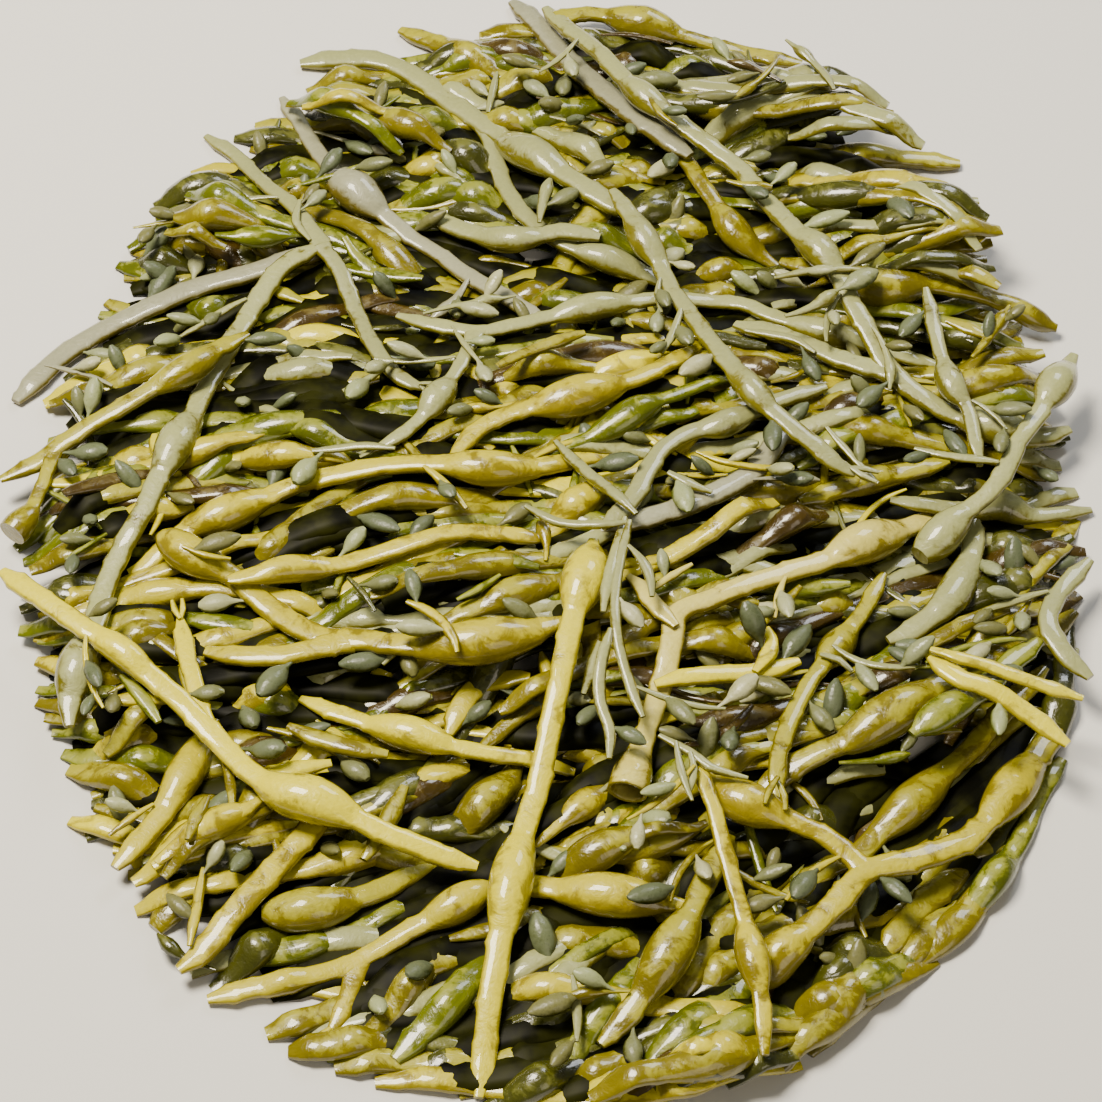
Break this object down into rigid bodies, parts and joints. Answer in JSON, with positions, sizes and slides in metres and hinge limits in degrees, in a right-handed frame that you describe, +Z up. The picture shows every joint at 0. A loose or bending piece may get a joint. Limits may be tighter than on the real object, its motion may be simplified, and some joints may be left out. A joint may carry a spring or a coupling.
{
  "type": "rockweed",
  "caption": "Whole knotted rockweed plant lying flat in a dense tangle: forked leathery fronds with single air bladders, spread from one holdfast cut flat underneath.",
  "frame": {"origin": "middle of the holdfast's flat cut underside, on the ground", "axes": "+Z up, the shortest extent; +Y the longest extent of the tangle; the picture looks along +Y from 50 degrees above"},
  "size_m": [0.3916, 0.5179, 0.0328],
  "materials": {
    "frond_olive": "wet, glossy olive to mustard, with dried matte film on top",
    "frond_pale": "half dried, satin grey-green",
    "holdfast": "wet dark brown"
  },
  "bodies": {
    "root": {"holdfast": "holdfast", "main_shoot_01": "frond_olive", "main_shoot_02": "frond_olive", "main_shoot_03": "frond_olive", "main_shoot_04": "frond_olive", "main_shoot_05": "frond_olive", "main_shoot_06": "frond_olive", "main_shoot_07": "frond_olive", "main_shoot_08": "frond_olive", "main_shoot_09": "frond_olive", "main_shoot_10": "frond_olive", "main_shoot_11": "frond_olive", "main_shoot_12": "frond_olive", "main_shoot_13": "frond_olive", "main_shoot_14": "frond_olive", "shoot_centre_down": "frond_olive", "shoot_centre_fork": "frond_olive", "shoot_centre_fork_branch": "frond_olive", "shoot_cross_fork": "frond_pale", "shoot_cross_fork_branch": "frond_pale", "shoot_diagonal": "frond_pale", "shoot_elbow": "frond_pale", "shoot_far_left_fork": "frond_olive", "shoot_far_left_fork_branch": "frond_olive", "shoot_far_right": "frond_pale", "shoot_grey_bladder": "frond_pale", "shoot_left_fan": "frond_pale", "shoot_left_fan_branch_down": "frond_pale", "shoot_left_fan_branch_up": "frond_pale", "shoot_left_middle": "frond_olive", "shoot_left_rim": "frond_pale", "shoot_left_slant": "frond_olive", "shoot_long_left": "frond_olive", "shoot_long_left_branch": "frond_olive", "shoot_long_right": "frond_pale", "shoot_long_right_branch": "frond_pale", "shoot_long_right_branch_top": "frond_pale", "shoot_low_left_bladder": "frond_olive", "shoot_low_left_fork": "frond_olive", "shoot_low_left_fork_branch": "frond_olive", "shoot_low_right_fork": "frond_olive", "shoot_low_right_fork_branch": "frond_olive", "shoot_lower_bladder": "frond_olive", "shoot_lower_right_bladder": "frond_olive", "shoot_mid_mustard": "frond_olive", "shoot_mustard_low": "frond_olive", "shoot_node_cross": "frond_pale", "shoot_pale_band": "frond_pale", "shoot_right_dark": "frond_olive", "shoot_right_olive_fork": "frond_olive", "shoot_right_pair_lower": "frond_olive", "shoot_right_pair_upper": "frond_olive", "shoot_right_thin": "frond_pale", "shoot_rim_low_left": "frond_olive", "shoot_short_twin": "frond_olive", "shoot_slim_low": "frond_olive", "shoot_top_band": "frond_pale", "shoot_top_olive": "frond_olive", "shoot_upper_left": "frond_pale", "shoot_upper_left_branch": "frond_pale"}
  },
  "joints": []
}
